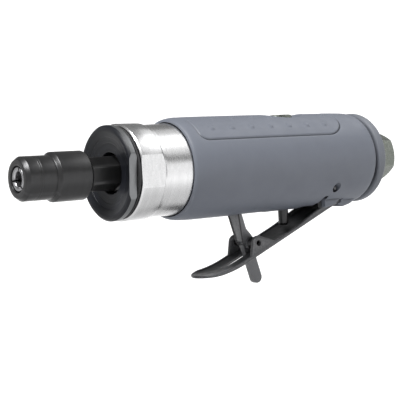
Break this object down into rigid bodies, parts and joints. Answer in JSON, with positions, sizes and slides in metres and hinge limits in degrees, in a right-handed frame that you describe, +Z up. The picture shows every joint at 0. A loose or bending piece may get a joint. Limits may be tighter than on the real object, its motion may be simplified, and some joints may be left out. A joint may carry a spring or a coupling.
{
  "type": "straight air die grinder",
  "caption": "Hand-held straight air die grinder with a vane motor, collet, gripped sleeve, safety-locked lever throttle and rear air inlet.",
  "frame": {"origin": "on the spindle axis at the middle of the grip sleeve, where a hand holds the tool", "axes": "+X along the spindle towards the air inlet, the collet is at -X; +Z up, the throttle lever hangs on the -Z side"},
  "size_m": [0.1833, 0.0402, 0.0689],
  "materials": {
    "black_oxide": "satin black oxide",
    "clamp_black": "satin black with fine turning marks",
    "housing_aluminium": "bright satin, turned",
    "grip_rubber": "matte blue-grey moulded",
    "cap_plastic": "matte grey moulded",
    "lever_steel": "dark satin",
    "jaw_steel": "bright ground",
    "bearing_steel": "ground",
    "spring_steel": "drawn wire",
    "inlet_steel": "dull greenish zinc plate",
    "cast_iron": "ground faces",
    "brass": "plain",
    "seal_rubber": "matte black",
    "felt": "pressed felt",
    "vane_resin": "phenolic laminate"
  },
  "bodies": {
    "tool_body": {"motor_housing": "housing_aluminium", "grip_sleeve": "grip_rubber", "exhaust_cap": "cap_plastic", "exhaust_muffler": "felt", "clamp_nut": "clamp_black", "front_gasket": "seal_rubber", "spindle_seal": "felt", "inlet_bushing": "inlet_steel", "inlet_screen": "brass", "inlet_o_ring": "seal_rubber", "front_end_plate": "cast_iron", "rear_end_plate": "cast_iron", "motor_cylinder": "cast_iron", "cylinder_dowel": "bearing_steel", "front_bearing_outer_race": "bearing_steel", "rear_bearing_outer_race": "bearing_steel", "lever_pin": "spring_steel", "valve_seat": "brass"},
    "spindle": {"rotor": "bearing_steel", "vane_1": "vane_resin", "vane_2": "vane_resin", "vane_3": "vane_resin", "vane_4": "vane_resin", "collet_body": "black_oxide", "front_bearing_inner_race": "bearing_steel", "rear_bearing_inner_race": "bearing_steel"},
    "front_balls": {"front_bearing_balls": "brass"},
    "rear_balls": {"rear_bearing_balls": "brass"},
    "shank_collet": {"collet": "jaw_steel"},
    "nose_nut": {"collet_nut": "black_oxide"},
    "lever": {"throttle_lever": "lever_steel", "lock_pin": "spring_steel", "lock_spring": "spring_steel"},
    "lock": {"lock_lever": "lever_steel"},
    "plunger": {"throttle_plunger": "black_oxide", "plunger_o_ring": "seal_rubber", "throttle_valve": "bearing_steel", "valve_spring": "spring_steel"},
    "regulator": {"power_regulator": "inlet_steel", "regulator_o_ring": "seal_rubber"}
  },
  "joints": [
    {"name": "spindle_spin", "type": "hinge", "parent": "tool_body", "child": "spindle", "pos_m": [-0.035, 0, 0], "axis": [1, 0, 0], "continuous": true},
    {"name": "front_balls_spin", "type": "hinge", "parent": "tool_body", "child": "front_balls", "pos_m": [-0.0615, 0, 0], "axis": [1, 0, 0], "continuous": true},
    {"name": "rear_balls_spin", "type": "hinge", "parent": "tool_body", "child": "rear_balls", "pos_m": [-0.0114, 0, 0], "axis": [1, 0, 0], "continuous": true},
    {"name": "collet_slide", "type": "slide", "parent": "spindle", "child": "shank_collet", "axis": [-1, 0, 0], "range_m": [0, 0.001]},
    {"name": "collet_nut_turn", "type": "hinge", "parent": "shank_collet", "child": "nose_nut", "pos_m": [-0.0985, 0, 0], "axis": [-1, 0, 0], "range_deg": [0, 361]},
    {"name": "throttle_squeeze", "type": "hinge", "parent": "tool_body", "child": "lever", "pos_m": [0.0269, 0, -0.0121], "axis": [0, 1, 0], "range_deg": [0, 10], "stiffness_Nm_per_rad": 0.6, "springref_deg": -8.59},
    {"name": "lock_fold", "type": "hinge", "parent": "lever", "child": "lock", "pos_m": [-0.01074, 0, -0.0318], "axis": [0, 1, 0], "range_deg": [0, 90.1]},
    {"name": "plunger_press", "type": "slide", "parent": "tool_body", "child": "plunger", "axis": [0, 0, 1], "range_m": [0, 0.0031], "deforming": ["valve_spring"]},
    {"name": "regulator_turn", "type": "hinge", "parent": "tool_body", "child": "regulator", "pos_m": [0.0105, 0, 0.0165], "axis": [0, 0, 1], "range_deg": [0, 90]}
  ],
  "couplings": [
    {"joint": "front_balls_spin", "follows": "spindle_spin", "ratio": 0.4027},
    {"joint": "rear_balls_spin", "follows": "spindle_spin", "ratio": 0.4118},
    {"joint": "collet_nut_turn", "follows": "collet_slide", "rad_per_m": 6283.2},
    {"joint": "lock_fold", "follows": "throttle_squeeze", "ratio": 9},
    {"joint": "plunger_press", "follows": "throttle_squeeze", "m_per_rad": 0.0175}
  ]
}
